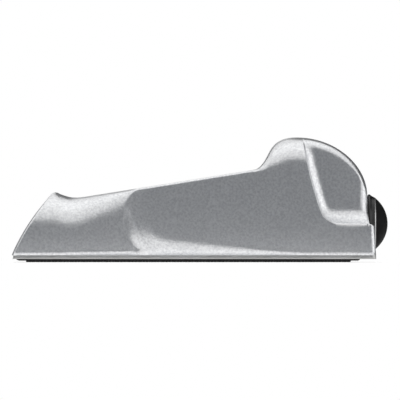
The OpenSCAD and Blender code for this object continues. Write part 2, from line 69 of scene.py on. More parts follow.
# Palm rest, neck and cheeks
HEEL_X, HEEL_H = 98.4, 36.2
CREST_X, CREST_H = 115.6, 49.3
REAR_H = 26.0
PALM_R = 10.0
BACK_POWER = 0.53
SHELF_H = 14.2
SCOOP_DEPTH = 5.2
SCOOP_COVE = 6.0
SCOOP_LEAN, SCOOP_BEND = 0.16, 0.0035
SCOOP_BACK, SCOOP_TOP = 2.7, 2.5
SCOOP_TURN, SCOOP_TURN_POWER = 4.3, 2.8
SCOOP_STEP, SCOOP_RUN, SCOOP_RUN_LOW = 0.35, 4.3, 1.5
NECK_EDGE = 3.2
NECK_CORNER = 4.0
CHEEK_L = 3.5
CHEEK_EDGE = 2.3
CHEEK_DROP = 0.6
CHEEK_ROUND = 0.5
CHEEK_LEAN = 0.8
FILLET_H, FILLET_L = 4.4, 1.1

# Blade's seat, screw, knob and spring
BLADE_W = 40.0
BLADE_FIT = 0.15
SEAT_Z = 1.6
AXIS_H = 14.3
SCREW_R = 3.0
KNOB_R = 11.9
KNOB_GAP = 1.5
KNOB_FRONT, SEAM_X, KNOB_END = 144.3, 147.7, 152.5
DOME_R = 13.3
HEAD_FRONT, HEAD_END, HEAD_R = 146.41, 149.41, 5.8
WASHER_REAR, WASHER_R = 145.06, 6.25
SPRING_R, WIRE_R, SPRING_TURNS = 4.4, 0.45, 5
SPRING_START, SPRING_END = 132.3, 141.19

HALF_W = BODY_W / 2
GROOVE_Y = BLADE_W / 2 + BLADE_FIT
REAR_INNER = BODY_L - WALL
CHEEK_END = BODY_L + CHEEK_L
RIM_Z = 1.3
TOE_X = -KNOB_END / 2
SEAM_STEP = 0.02

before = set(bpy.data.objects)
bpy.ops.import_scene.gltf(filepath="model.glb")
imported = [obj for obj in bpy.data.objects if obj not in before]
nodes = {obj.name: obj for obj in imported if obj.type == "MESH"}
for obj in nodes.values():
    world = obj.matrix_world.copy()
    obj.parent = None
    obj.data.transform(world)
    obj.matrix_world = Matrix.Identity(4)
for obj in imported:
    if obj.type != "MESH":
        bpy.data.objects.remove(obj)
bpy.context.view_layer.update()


# Curves
def clamp(v):
    return np.clip(v, 0.0, 1.0)


def mix(a, b, t):
    return a + (b - a) * t


def ease(t):
    c = clamp(t)
    return c * c * (3 - 2 * c)


def cove(t):
    """Rise of a quarter circle: upright at t = 0 and level at t = 1."""
    return np.sqrt(1 - (1 - clamp(t)) ** 2)


def fall(t):
    """Fall of a quarter circle: level at t = 0 and upright at t = 1."""
    return 1 - np.sqrt(1 - clamp(t) ** 2)


def bank(t, straight=0.2):
    """Rise of a bank: a straight slope up to t = straight that then eases out until t = 1."""
    c = clamp(t)
    slope = 2 / (1 + straight)
    return slope * (c - np.maximum(0, c - straight) ** 2 / (2 * (1 - straight)))


# Body surface
DECK_X, DECK_H = DIP_X + DECK_RUN, DIP_H + DECK_RISE
DECK_SLOPE = (HEEL_H - DECK_H) / (HEEL_X - DECK_X)
# Top line up to the crest: distance, height and slope
TOP_KNOTS = np.array(
    [
        (0, LIP_H, 4),
        (0.35, LIP_H + 1.1, 2.2),
        (TIP_X - 2.2, TIP_H - 0.95, 1.2),
        (TIP_X, TIP_H, 0),
        (TIP_X + 1.6, TIP_H - 0.65, -0.36),
        (DIP_X, DIP_H, 0),
        (DECK_X, DECK_H, DECK_SLOPE),
        (HEEL_X, HEEL_H, DECK_SLOPE),
        (CREST_X - 11.5, CREST_H - 6.7, 2.05),
        (CREST_X - 7.9, CREST_H - 2, 0.65),
        (CREST_X, CREST_H, 0),
    ]
)


def knot_curve(x):
    """Top line through the knots, as a smooth curve with the slope that each knot gives."""
    i = np.clip(np.searchsorted(TOP_KNOTS[:, 0], x) - 1, 0, len(TOP_KNOTS) - 2)
    a, b = TOP_KNOTS[i], TOP_KNOTS[i + 1]
    w = b[..., 0] - a[..., 0]
    t = clamp((x - a[..., 0]) / w)
    start = (2 * t**3 - 3 * t**2 + 1) * a[..., 1] + (t**3 - 2 * t**2 + t) * w * a[..., 2]
    end = (3 * t**2 - 2 * t**3) * b[..., 1] + (t**3 - t**2) * w * b[..., 2]
    return start + end


def back_curve(x):
    """Top line behind the crest."""
    s = clamp((x - CREST_X) / (BODY_L - CREST_X))
    return REAR_H + (CREST_H - REAR_H) * (1 - s * s) ** BACK_POWER


def fillet(x):
    return FILLET_H * (1 - clamp((x - BODY_L) / FILLET_L)) ** 1.6


def top_line(x):
    cheek = SHELF_H + fillet(x) - CHEEK_DROP * ((x - BODY_L) / CHEEK_L) ** 2
    return np.where(x > BODY_L, cheek, np.where(x > CREST_X, back_curve(x), knot_curve(x)))


def crown(x):
    """How far the top is higher along its middle: on the nose and the palm rest, and not between them."""
    deck = ease((x - WAIST_X - 1) / 5) * (1 - ease((x - HEEL_X + 2) / 6))
    return np.where(x > BODY_L, 0, CROWN * ease((x - TIP_X + 3) / 8) * (1 - deck))


def edge_line(x):
    """Height of the top at its edges, which lie under the crown."""
    return top_line(x) - crown(x)


def plain_side(z):
    return HALF_W - LIP_OUT - math.tan(SIDE_DRAFT) * np.maximum(0, z - LIP_H)


def nose_shoulder(x):
    return NOSE_R * mix(1, SHOULDER_NARROW, clamp((x - TIP_X) / (WAIST_X - TIP_X)))


def taper(x):
    """How far the flanks draw in along the nose. They come back out in the hollow's first millimetres."""
    return NOSE_TAPER * clamp((x - TIP_X) / (WAIST_X - TIP_X)) * (1 - ease((x - WAIST_X) / TAPER_BACK))


def nose_side(x, z):
    h = np.where(x < TIP_X, TIP_H, edge_line(x))
    b = nose_shoulder(x)
    along = clamp((x - TIP_X) / (WAIST_X - TIP_X))
    foot = mix(HALF_W, plain_side(z) - taper(x), cove((z - LIP_H) / LEDGE_H))
    face = np.where(x < TIP_X, NOSE_EDGE * fall((z - top_line(x) + NOSE_EDGE) / NOSE_EDGE), 0)
    return foot - mix(SHOULDER_TIP, SHOULDER_WAIST, along) * b * fall((z - h + b) / b) - face


def waist_start(z):
    """Front end of the waist's hollow: upright, with a round lower and upper corner."""
    low = clamp((WAIST_MID - z) / (WAIST_MID - LIP_H))
    high = clamp((z - WAIST_MID) / HOLLOW_HEAD_H)
    return WAIST_X + HOLLOW_FOOT * low**3 - HOLLOW_BELLY * low * (1 - low) + HOLLOW_HEAD * high**4


def waist_ramp(x, z):
    low = clamp((WAIST_MID - z) / (WAIST_MID - LIP_H))
    return bank((x - waist_start(z)) / (FADE_IN + MORE_FADE * 4 * low * (1 - low)), 0.3)


def top_round(x):
    palm = mix(WAIST_EDGE, PALM_R, ease((x - HEEL_X - 1) / 9))
    return np.where(x > BODY_L, CHEEK_ROUND, mix(palm, NECK_EDGE, ease((x - CREST_X - 4) / 10)))


def waist_side(x, z):
    s = clamp((x - WAIST_X - HOLLOW_FULL) / (WAIST_END - WAIST_X - HOLLOW_FULL))
    depth = WAIST_DEPTH * (1 - s) * mix(HOLLOW_SHALLOW, 1, ease((x - WAIST_X) / HOLLOW_DEEPEN))
    r = top_round(x)
    spread = FOOT_SPREAD * (1 + FOOT_FLARE * (1 - ease((x - WAIST_X - 1) / FLARE_L)))
    foot = depth * bank((z - LIP_H) / (spread * depth + 0.1), 0.1)
    drawn_in = taper(x)
    # The larger of the two, with a smooth change from one to the other
    inward = (foot + drawn_in + np.sqrt((foot - drawn_in) ** 2 + (TAPER_BLEND * drawn_in) ** 2)) / 2
    flank = mix(HALF_W, plain_side(z) - inward, cove((z - LIP_H) / LEDGE_H))
    return flank - r * fall((z - edge_line(x) + r) / r)


def scoop_start(z):
    """Front edge of the scoop: a leaning line that turns level along the shelf."""
    low = clamp((SHELF_H + SCOOP_TURN - z) / SCOOP_TURN)
    down = CREST_H - SCOOP_TOP - z
    leaning = CREST_X + SCOOP_BACK + SCOOP_LEAN * down + SCOOP_BEND * down**2
    return leaning + SCOOP_TURN * low**SCOOP_TURN_POWER


def scoop_ramp(x, z):
    low = clamp((SHELF_H + SCOOP_COVE - z) / SCOOP_COVE)
    run = x - scoop_start(z)
    return 0.5 * cove(run / SCOOP_STEP) + 0.5 * bank(run / (SCOOP_RUN + SCOOP_RUN_LOW * low))


def neck_side(x, z):
    edge = np.where(x > BODY_L, 0, NECK_EDGE * fall((z - edge_line(x) + NECK_EDGE) / NECK_EDGE))
    corner = NECK_CORNER * ease((z - SHELF_H) / (2 * FILLET_H))
    up = (z - SHELF_H) / SCOOP_COVE
    wall = plain_side(z) - SCOOP_DEPTH * mix(bank(up, 0.33), cove(up), 0.3) - edge
    return wall - corner * fall((x - BODY_L + NECK_CORNER) / NECK_CORNER)


def outer_side(x, z):
    """Half-width of the body at a distance x from the toe and a height z above the rim."""
    edge = CHEEK_EDGE * fall((x - CHEEK_END + CHEEK_EDGE) / CHEEK_EDGE)
    lip = HALF_W - LIP_ROUND * fall(1 - z / LIP_ROUND)
    front = mix(nose_side(x, z), waist_side(x, z), waist_ramp(x, z))
    whole = np.where(z > SHELF_H, mix(front, neck_side(x, z), scoop_ramp(x, z)), front)
    return np.where(z <= LIP_H, lip, whole) - edge


def inner_side(x, z):
    """Half-width of the cavity, one wall inside the outer surface."""
    # Steps of one wall straight in, along two axes at once, and along all three
    two, three = math.sqrt(1 / 2), math.sqrt(1 / 3)
    feelers = [(0, 0, 1)]
    feelers += [(i, 0, 0) for i in (-1, 1)] + [(0, i, 0) for i in (-1, 1)]
    feelers += [(i * two, 0, two) for i in (-1, 1)] + [(0, i * two, two) for i in (-1, 1)]
    feelers += [(i * three, j * three, three) for i in (-1, 1) for j in (-1, 1)]
    sides = [
        outer_side(x + WALL * a, np.maximum(LIP_H + 0.3, z + WALL * b)) - WALL * c
        for a, b, c in feelers
    ]
    return np.maximum(1, np.min(sides, axis=0))


def inner_top(x):
    """Height of the cavity's roof, one wall under the outer top and inside both ends."""
    def core(at):
        return np.where((at < 0) | (at > BODY_L), 0, edge_line(at))

    turns = np.radians(np.arange(-90, 91, 15))
    roofs = [core(x + WALL * math.sin(a)) - WALL * math.cos(a) for a in turns]
    return np.maximum(0, np.min(roofs, axis=0))


# Body mesh
# Rows of points up one side: the lip, its ledge, the flank, and the round of the top edge
LIP_ROWS = [0, 0.1, 0.2, LIP_ROUND, 0.7, 1.1, 1.3, LIP_H]
LEDGE_ROWS = np.linspace(0, 1, 23)[1:] ** 2.3
FLANK_ROWS = np.linspace(0, 1, 27)[1:] ** 1.8
ARCH_ROWS = np.sin(np.linspace(0, math.pi / 2, 21)[1:])
TOP_ROWS = np.linspace(1, 0, 9)[1:]
INNER_ROWS = np.linspace(0, 1, 13)[1:]
SIDE_PARTS = [LIP_ROWS, LEDGE_ROWS, FLANK_ROWS, ARCH_ROWS]
ROW_KIND = np.repeat([0, 1, 2, 3], [len(rows) for rows in SIDE_PARTS])[:, None]
ROW_PLACE = np.concatenate(SIDE_PARTS)[:, None]
SIDE_ROWS = len(ROW_PLACE)
LIP_COUNT = len(LIP_ROWS)
# How many times the edges are softened, how near the body's rear end the columns are held,
# and how far a point sinks where the wear attribute is 1
SOFT_ROUNDS = 5
HELD_NEAR = 0.3
WEAR_UNIT = 0.05


def row_heights(x):
    """Height of each side row at x, which has one line for each row."""
    h = edge_line(np.maximum(x, TIP_X))
    at = np.maximum(x, TIP_X)
    arch = np.where(at > BODY_L, 1, mix(nose_shoulder(at), top_round(at), ease((at - WAIST_X) / 8)))
    arch_z = h - arch
    middle = mix(mix(LIP_H, arch_z, 0.45), SHELF_H, ease((at - HEEL_X) / 12))
    cove_z = np.where(at > BODY_L, 7, middle)
    plain = np.choose(
        ROW_KIND,
        [
            ROW_PLACE + 0 * x,
            mix(LIP_H, cove_z, ROW_PLACE),
            mix(cove_z, arch_z, ROW_PLACE),
            mix(arch_z, h, ROW_PLACE),
        ],
    )
    k = (edge_line(x) - LIP_H) / (edge_line(np.array(TIP_X)) - LIP_H)
    scaled = np.where(ROW_KIND == 0, plain, LIP_H + (plain - LIP_H) * k)
    even = edge_line(x) * np.arange(SIDE_ROWS)[:, None] / (SIDE_ROWS - 1)
    return np.where(x >= TIP_X, plain, mix(even, scaled, ease(x / 1.5)))


def slant(x, z):
    """Moves the stations onto the slanting edges of the hollow and of the scoop."""
    up = clamp((z - LIP_H) / 1.5)
    hollow = ease((x - WAIST_X + 9) / 9) * (1 - ease((x - WAIST_X - 3) / 25))
    middle = CREST_X + 6.7
    scoop = ease((x - middle + 14) / 14) * (1 - ease((x - middle - 1) / 19))
    return x + up * (hollow * (waist_start(z) - WAIST_X) + scoop * (scoop_start(z) - middle))


def place(x, y, z):
    """Points in the model's frame, with the front face's bow and the cheeks' lean."""
    bow = NOSE_BOW * (y / HALF_W) ** 2 * (1 - ease(x / 30))
    lean = np.where(x > BODY_L, -CHEEK_LEAN * z / SHELF_H * (x - BODY_L) / CHEEK_L, 0)
    return np.stack([x + bow + lean + TOE_X, y, z + RIM_Z], axis=-1) * MM


def steps(*spans):
    """Stations along the body: each span is its start and its step, and the last one ends it."""
    out = []
    for (start, step), (end, _) in zip(spans, spans[1:]):
        out.append(np.linspace(start, end, max(2, round((end - start) / step) + 1))[:-1])
    return np.append(np.concatenate(out), spans[-1][0])


def soften(grid, rounds, held):
    """Rounds the sharp edges of a grid of points a little, apart from the columns that are held,
    and says how far each point sank."""
    soft = grid.copy()
    for _ in range(rounds):
        means = []
        for before, after in ((soft[:-2, 1:-1], soft[2:, 1:-1]), (soft[1:-1, :-2], soft[1:-1, 2:])):
            here = soft[1:-1, 1:-1]
            back = np.linalg.norm(here - before, axis=-1, keepdims=True) + 1e-9
            ahead = np.linalg.norm(after - here, axis=-1, keepdims=True) + 1e-9
            means.append((before * ahead + after * back) / (back + ahead))
        soft[1:-1, 1:-1] = (soft[1:-1, 1:-1] + (means[0] + means[1]) / 2) / 2
        soft[:LIP_COUNT] = grid[:LIP_COUNT]
        soft[:, held] = grid[:, held]
        soft[-1, :, 2] = soft[-2, :, 2]
    out = np.cross(np.gradient(grid, axis=0), np.gradient(grid, axis=1))
    out /= np.linalg.norm(out, axis=-1, keepdims=True) + 1e-12
    out *= np.where((out * np.array([0, 1, 1])).sum(-1) < 0, -1, 1)[..., None]
    return soft, ((grid - soft) * out).sum(-1)


def body_rings():
    """Rings of points round the body, its outer line and then its cavity's, one for each station."""
    x = steps(
        (0, 0.12), (2, 0.4), (15, 0.15), (21, 0.5), (40, 0.2), (WAIST_X - 1, 0.1), (WAIST_X + 7, 0.35),
        (66, 1.3), (HEEL_X - 4, 0.35), (117, 0.12), (130, 0.35), (139, 0.12),
        (REAR_INNER - SEAM_STEP, SEAM_STEP), (REAR_INNER + SEAM_STEP, 0.12),
        (BODY_L, SEAM_STEP), (BODY_L + SEAM_STEP, 0.12), (CHEEK_END, 1),
    )
    wide = np.broadcast_to(x, (SIDE_ROWS, len(x)))
    xs = slant(wide, row_heights(wide))
    zs = row_heights(xs)
    ys = outer_side(xs, zs)
    side = place(xs, ys, zs)
    rise = top_line(xs[-1]) - edge_line(xs[-1])
    top = [place(xs[-1], ys[-1] * t, edge_line(xs[-1]) + rise * (1 - t * t)) for t in TOP_ROWS]
    held = abs(x - BODY_L) < HELD_NEAR
    outer, moved = soften(np.concatenate([side, top]), SOFT_ROUNDS, held)

    h = inner_top(x)
    seat = np.minimum(SEAT_Z, h)
    open_here = h > 0.01
    inner = [place(x, 0 * x + GROOVE_Y, 0 * x), place(x, 0 * x + GROOVE_Y, np.where(open_here, seat, 0))]
    for i, t in enumerate(INNER_ROWS):
        z = mix(seat, h, t)
        y = np.minimum(GROOVE_Y - 0.2, inner_side(x, z))
        flat_y = GROOVE_Y * (1 - (i + 1) / (len(INNER_ROWS) + 1))
        inner.append(place(x, np.where(open_here, y, flat_y), np.where(open_here, z, 0)))
    inner.append(place(x, 0 * x, np.where(open_here, h, 0)))
    inner = np.array(inner)

    flip = np.array([1, -1, 1])
    ring = np.concatenate([outer, outer[-2::-1] * flip, inner * flip, inner[-2::-1]])
    edge = np.concatenate([moved, moved[-2::-1], 0 * inner[..., 0], 0 * inner[-2::-1, :, 0]])
    return ring.transpose(1, 0, 2), edge.T


def new_object(name, data):
    obj = bpy.data.objects.new(name, data)
    bpy.context.scene.collection.objects.link(obj)
    return obj


def mesh_object(name, verts, faces):
    mesh = bpy.data.meshes.new(name)
    mesh.from_pydata([tuple(v) for v in verts], [], faces)
    mesh.validate()
    return new_object(name, mesh)


def tidy_mesh(obj, merge=1e-7, angle=35.0):
    """Merges doubled points, turns the faces outward and keeps only real edges sharp."""
    bm = bmesh.new()
    bm.from_mesh(obj.data)
    bmesh.ops.remove_doubles(bm, verts=bm.verts, dist=merge)
    bmesh.ops.dissolve_degenerate(bm, edges=bm.edges, dist=merge)
    bmesh.ops.recalc_face_normals(bm, faces=bm.faces)
    limit = math.radians(angle)
    for face in bm.faces:
        face.smooth = True
    for e in bm.edges:
        e.smooth = len(e.link_faces) == 2 and e.calc_face_angle(0) < limit
    bm.to_mesh(obj.data)
    bm.free()


def cut_away(obj, cutter):
    """Takes the cutter's space out of the object, and removes the cutter."""
    modifier = obj.modifiers.new("cut", "BOOLEAN")
    modifier.operation = "DIFFERENCE"
    modifier.solver = "EXACT"
    modifier.object = cutter
    bpy.context.view_layer.update()
    shaped = bpy.data.meshes.new_from_object(obj.evaluated_get(bpy.context.evaluated_depsgraph_get()))
    obj.modifiers.clear()
    obj.data = shaped
    bpy.data.objects.remove(cutter)


def box_object(name, low, high):
    """A box from low to high, given in mm from the toe and the rim."""
    corners = [(x, y, z) for x in (low[0], high[0]) for y in (low[1], high[1]) for z in (low[2], high[2])]
    verts = [((x + TOE_X) * MM, y * MM, (z + RIM_Z) * MM) for x, y, z in corners]
    faces = [(0, 1, 3, 2), (4, 6, 7, 5), (0, 4, 5, 1), (2, 3, 7, 6), (0, 2, 6, 4), (1, 5, 7, 3)]
    return mesh_object(name, verts, faces)


def make_body():
    """The casting's outside, its open cavity and the space between its cheeks.
    It leaves out four things that the CAD's casting has: the cross bar, the ribs beside the hook,
    the room for the blade's roll and the screw's hole."""
    rings, edge = body_rings()
    count, around = rings.shape[:2]
    a = np.arange(count - 1)[:, None] * around + np.arange(around)[None, :]
    b = np.arange(count - 1)[:, None] * around + (np.arange(around)[None, :] + 1) % around
    quads = np.stack([a, b, b + around, a + around], axis=-1).reshape(-1, 4)
    last = (count - 1) * around
    caps = [tuple(range(around)), tuple(range(last + around - 1, last - 1, -1))]
    body = mesh_object("body_shell", rings.reshape(-1, 3), [tuple(q) for q in quads.tolist()] + caps)
    wear = body.data.attributes.new("edge", "FLOAT", "POINT")
    wear.data.foreach_set("value", (edge.reshape(-1) / (WEAR_UNIT * MM)).astype(np.float32))
    tidy_mesh(body)
    well = KNOB_R + KNOB_GAP
    cutter = box_object("well", (BODY_L, -well, -1), (CHEEK_END + 5, well, CREST_H))
    cut_away(body, cutter)
    return body


body = make_body()


# Turned pieces and the spring
def lathe(name, profile, segments=144):
    """A piece turned about the screw's axis from a line of (x, radius) points."""
    profile = np.array(profile)
    turn = np.linspace(0, 2 * math.pi, segments, endpoint=False)
    x = (profile[:, 0] + TOE_X)[:, None] + 0 * turn
    y = profile[:, 1][:, None] * np.cos(turn)
    z = profile[:, 1][:, None] * np.sin(turn) + AXIS_H + RIM_Z
    verts = np.stack([x, y, z], axis=-1).reshape(-1, 3) * MM
    n = len(profile)
    faces = []
    for i, k in zip(range(n), [*range(1, n), 0]):
        for j in range(segments):
            beside = (j + 1) % segments
            here, there = i * segments, k * segments
            faces.append((here + j, here + beside, there + beside, there + j))
    obj = mesh_object(name, verts, faces)
    tidy_mesh(obj, merge=2e-6, angle=50)
    return obj


def arc(cx, cy, r, start, end, count):
    return [
        (cx + r * math.cos(math.radians(t)), cy + r * math.sin(math.radians(t)))
        for t in np.linspace(start, end, count)
    ]


def dome_radius(x):
    return math.sqrt(max(0, DOME_R**2 - (x - (KNOB_END - DOME_R)) ** 2))


BAND_X = SEAM_X - 0.4
WHEEL_CORNER = 0.7
GROOVE_DEPTH = 0.16
RUN_GAP = 0.06


def make_wheel():
    """The knob's front part: its rounded rim, a light band at the seam, and the bore for the screw."""
    rim = arc(KNOB_FRONT + WHEEL_CORNER, KNOB_R - WHEEL_CORNER, WHEEL_CORNER, 180, 90, 9)
    # A shallow finger groove round the knob
    groove = []
    for t in np.linspace(0, 1, 17)[1:]:
        x = mix(KNOB_FRONT + WHEEL_CORNER, BAND_X, t)
        groove.append((x, min(KNOB_R, dome_radius(x)) - GROOVE_DEPTH * math.sin(math.pi * t) ** 2))
    band = [(x, dome_radius(x) + 0.03) for x in np.linspace(BAND_X + 0.03, SEAM_X - 0.03, 3)]
    inside = [
        (SEAM_X, HEAD_R + 0.1), (HEAD_FRONT, HEAD_R + 0.1), (HEAD_FRONT, SCREW_R + RUN_GAP),
        (WASHER_REAR, SCREW_R + RUN_GAP), (WASHER_REAR, WASHER_R), (KNOB_FRONT, WASHER_R),
    ]
    return lathe("knob_wheel_turned", rim + groove + band + inside)


def make_cap():
    """The knob's domed rear part, with a small step at the seam and a pocket for the screw's head."""
    dome = [(SEAM_X, dome_radius(SEAM_X) - 0.12)]
    for t in np.linspace(0, math.pi / 2, 40)[:-1]:
        x = SEAM_X + (KNOB_END - SEAM_X) * math.sin(t)
        dome.append((max(x, SEAM_X + 0.05), dome_radius(x)))
    pocket_x, pocket_r = HEAD_END + 0.3, HEAD_R + 0.3
    inside = [(KNOB_END, 0), (pocket_x, 0), (pocket_x, pocket_r), (SEAM_X, pocket_r)]
    return lathe("knob_cap_turned", dome + inside)


def make_spring():
    """The coil spring: one wire along a helix, with flatter turns at its ends."""
    rings = SPRING_TURNS * 32
    sides = 12
    t = np.arange(rings + 1) / rings
    turn = t * SPRING_TURNS * 2 * math.pi
    share = mix(t, ease(t), 0.35)
    path = np.stack(
        [
            mix(SPRING_START, SPRING_END, share) + TOE_X,
            SPRING_R * np.cos(turn),
            AXIS_H + RIM_Z + SPRING_R * np.sin(turn),
        ],
        axis=-1,
    )
    ahead = np.gradient(path, axis=0)
    ahead /= np.linalg.norm(ahead, axis=1)[:, None]
    out = np.stack([0 * turn, np.cos(turn), np.sin(turn)], axis=-1)
    up = np.cross(ahead, out)
    up /= np.linalg.norm(up, axis=1)[:, None]
    b = np.linspace(0, 2 * math.pi, sides, endpoint=False)
    verts = path[:, None] + WIRE_R * (out[:, None] * np.cos(b)[:, None] + up[:, None] * np.sin(b)[:, None])
    faces = []
    for start in range(0, rings * sides, sides):
        for k in range(sides):
            beside = (k + 1) % sides
            faces.append((start + k, start + beside, start + sides + beside, start + sides + k))
    faces += [tuple(range(sides)), tuple(rings * sides + k for k in range(sides))]
    obj = mesh_object("release_coil", verts.reshape(-1, 3) * MM, faces)
    tidy_mesh(obj)
    return obj


wheel = make_wheel()
cap = make_cap()
spring = make_spring()


# Materials
def add(tree, kind, links=None, **settings):
    """Adds a node. links gives its inputs, as another node's socket or as a plain value."""
    node = tree.nodes.new(kind)
    for key, value in settings.items():
        setattr(node, key, value)
    for key, value in (links or {}).items():
        if isinstance(value, bpy.types.NodeSocket):
            tree.links.new(value, node.inputs[key])
        else:
            node.inputs[key].default_value = value
    return node


def new_material(name):
    material = bpy.data.materials.new(name)
    material.use_nodes = True
    material.node_tree.nodes.clear()
    return material, material.node_tree


def finish_material(tree, shader):
    out = add(tree, "ShaderNodeOutputMaterial")
    tree.links.new(shader, out.inputs["Surface"])


def object_place(tree):
    return add(tree, "ShaderNodeTexCoord").outputs["Object"]


def height_above_floor(tree):
    return add(tree, "ShaderNodeSeparateXYZ", {0: object_place(tree)}).outputs[2]


def noise(tree, scale, detail, roughness=0.55):
    links = {"Vector": object_place(tree), "Scale": scale, "Detail": detail, "Roughness": roughness}
    return add(tree, "ShaderNodeTexNoise", links).outputs["Fac"]


def remap(tree, value, low, high, to_low, to_high):
    links = {"Value": value, "From Min": low, "From Max": high, "To Min": to_low, "To Max": to_high}
    return add(tree, "ShaderNodeMapRange", links, clamp=True).outputs["Result"]


def blend_colour(tree, share, a, b):
    node = add(tree, "ShaderNodeMix", data_type="RGBA")
    for key, value in (("Factor", share), ("A", a), ("B", b)):
        socket = [s for s in node.inputs if s.name == key and s.enabled][0]
        if isinstance(value, bpy.types.NodeSocket):
            tree.links.new(value, socket)
        else:
            socket.default_value = value
    return [s for s in node.outputs if s.enabled][0]


def maths(tree, operation, a, b):
    return add(tree, "ShaderNodeMath", {0: a, 1: b}, operation=operation).outputs[0]


def bump(tree, height, distance, strength):
    links = {"Height": height, "Distance": distance, "Strength": strength}
    return add(tree, "ShaderNodeBump", links).outputs["Normal"]


def grey(value, tint=(1, 1, 1)):
    return (value * tint[0], value * tint[1], value * tint[2], 1)


def silver_paint():
    """Die-cast zinc under silver paint: fine flake, slow tone changes, edges worn to brighter metal, and
    painted shade on the lip.
    """
    material, tree = new_material("silver_paint")
    flake = noise(tree, 1100, 2, 0.6)
    cloud = noise(tree, 60, 3)
    wear_noise = noise(tree, 900, 3)
    tone = maths(tree, "ADD", maths(tree, "MULTIPLY", flake, 0.85), maths(tree, "MULTIPLY", cloud, 0.15))
    dark, light = grey(0.62, (0.985, 0.995, 1.02)), grey(0.82, (0.99, 1, 1.01))
    paint = blend_colour(tree, remap(tree, tone, 0.36, 0.64, 0, 1), dark, light)
    edge = add(tree, "ShaderNodeAttribute", attribute_name="edge").outputs["Fac"]
    patches = remap(tree, wear_noise, 0.35, 0.6, 0.2, 0.8)
    worn = maths(tree, "MULTIPLY", remap(tree, edge, 0.5, 2.5, 0, 1), patches)
    # Painted shade: below the rim's top the paint is blended, in cloudy patches, towards a darker grey that
    # stands in for shade on the lip
    rim_top = (RIM_Z + LIP_H) * MM
    low = remap(tree, height_above_floor(tree), rim_top - 0.0001, rim_top + 0.0002, 1, 0)
    painted_lip_shade = maths(tree, "MULTIPLY", low, remap(tree, cloud, 0.35, 0.65, 0.75, 1))
    paint_with_painted_shade = blend_colour(tree, painted_lip_shade, paint, grey(0.42, (1, 1, 0.98)))
    colour = blend_colour(tree, worn, paint_with_painted_shade, grey(0.78))
    links = {
        "Base Color": colour,
        "Metallic": 0.9,
        "Roughness": remap(tree, tone, 0.3, 0.7, 0.34, 0.28),
        "Normal": bump(tree, flake, 0.00012, 0.8),
    }
    finish_material(tree, add(tree, "ShaderNodeBsdfPrincipled", links).outputs[0])
    return material


def black_steel():
    """Blackened spring steel, with the oxide rubbed off the tips of the teeth."""
    material, tree = new_material("black_steel")
    grain = noise(tree, 1800, 3)
    cloud = noise(tree, 120, 3)
    tips = remap(tree, height_above_floor(tree), 0.00022, 0.00004, 0, 1)
    rubbed = maths(tree, "MULTIPLY", tips, remap(tree, grain, 0.4, 0.65, 0, 0.5))
    oxide = blend_colour(tree, remap(tree, cloud, 0.35, 0.65, 0, 1), grey(0.010), grey(0.022, (1, 1, 1.06)))
    links = {
        "Base Color": blend_colour(tree, rubbed, oxide, grey(0.4)),
        "Metallic": 0.55,
        "Roughness": remap(tree, grain, 0.3, 0.7, 0.5, 0.36),
        "Normal": bump(tree, grain, 0.00002, 0.5),
    }
    finish_material(tree, add(tree, "ShaderNodeBsdfPrincipled", links).outputs[0])
    return material


def bright_steel(name, tone, tint=(1, 1, 1), roughness=0.3):
    """Plated or drawn steel with fine scratches along X."""
    material, tree = new_material(name)
    links = {"Vector": object_place(tree), "Scale": (150, 3000, 3000)}
    drawn = add(tree, "ShaderNodeMapping", links).outputs[0]
    scratch = add(tree, "ShaderNodeTexNoise", {"Vector": drawn, "Scale": 1, "Detail": 3}).outputs["Fac"]
    cloud = noise(tree, 200, 3)
    share = remap(tree, cloud, 0.35, 0.65, 0, 1)
    colour = blend_colour(tree, share, grey(tone * 0.86, tint), grey(tone, tint))
    links = {
        "Base Color": colour,
        "Metallic": 1.0,
        "Roughness": remap(tree, scratch, 0.3, 0.7, roughness - 0.06, roughness + 0.1),
        "Normal": bump(tree, scratch, 0.000015, 0.4),
    }
    finish_material(tree, add(tree, "ShaderNodeBsdfPrincipled", links).outputs[0])
    return material


def black_plastic(name, tone, roughness, level):
    """Moulded black plastic with a fine mould grain and slight handling marks."""
    material, tree = new_material(name)
    grain = noise(tree, 2600, 2)
    marks = noise(tree, 260, 4, 0.6)
    share = remap(tree, marks, 0.4, 0.6, 0, 1)
    links = {
        "Base Color": blend_colour(tree, share, grey(tone), grey(tone * 1.35, (1, 1, 1.04))),
        "Roughness": remap(tree, marks, 0.35, 0.65, roughness - 0.04, roughness + 0.05),
        "Normal": bump(tree, grain, 0.00001, 0.35),
        "Specular IOR Level": level,
    }
    finish_material(tree, add(tree, "ShaderNodeBsdfPrincipled", links).outputs[0])
    return material


def light_band(wheel):
    """Gives the wheel's second material to the narrow band before the seam, on the outside only."""
    inside_r = 9
    for face in wheel.data.polygons:
        x = face.center.x / MM - TOE_X
        r = math.hypot(face.center.y, face.center.z - (AXIS_H + RIM_Z) * MM) / MM
        face.material_index = int(BAND_X < x < SEAM_X and r > inside_r)


def set_material(obj, *materials):
    obj.data.materials.clear()
    for material in materials:
        obj.data.materials.append(material)


paint = silver_paint()
steel = bright_steel("plated_steel", 0.62)
spring_steel = bright_steel("spring_steel", 0.42, roughness=0.34)
set_material(body, paint)
set_material(nodes["rasp_blade"], black_steel())
set_material(nodes["tension_hook"], steel)
set_material(nodes["hook_nut"], steel)
set_material(nodes["tension_screw"], steel)
set_material(nodes["stop_clip"], spring_steel)
set_material(spring, spring_steel)
set_material(nodes["thrust_washer"], bright_steel("brass_washer", 0.72, (1, 0.78, 0.4)))
knob_plastic = black_plastic("knob_plastic", 0.009, 0.5, 0.03)
set_material(cap, knob_plastic)
set_material(wheel, black_plastic("wheel_plastic", 0.006, 0.24, 0.35), bright_steel("ring_line", 0.5))
light_band(wheel)

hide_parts("body_casting")
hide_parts("knob_wheel")
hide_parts("knob_cap")
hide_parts("release_spring")
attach(body, "casting")
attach(spring, "casting")
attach(wheel, "knob")
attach(cap, "knob")


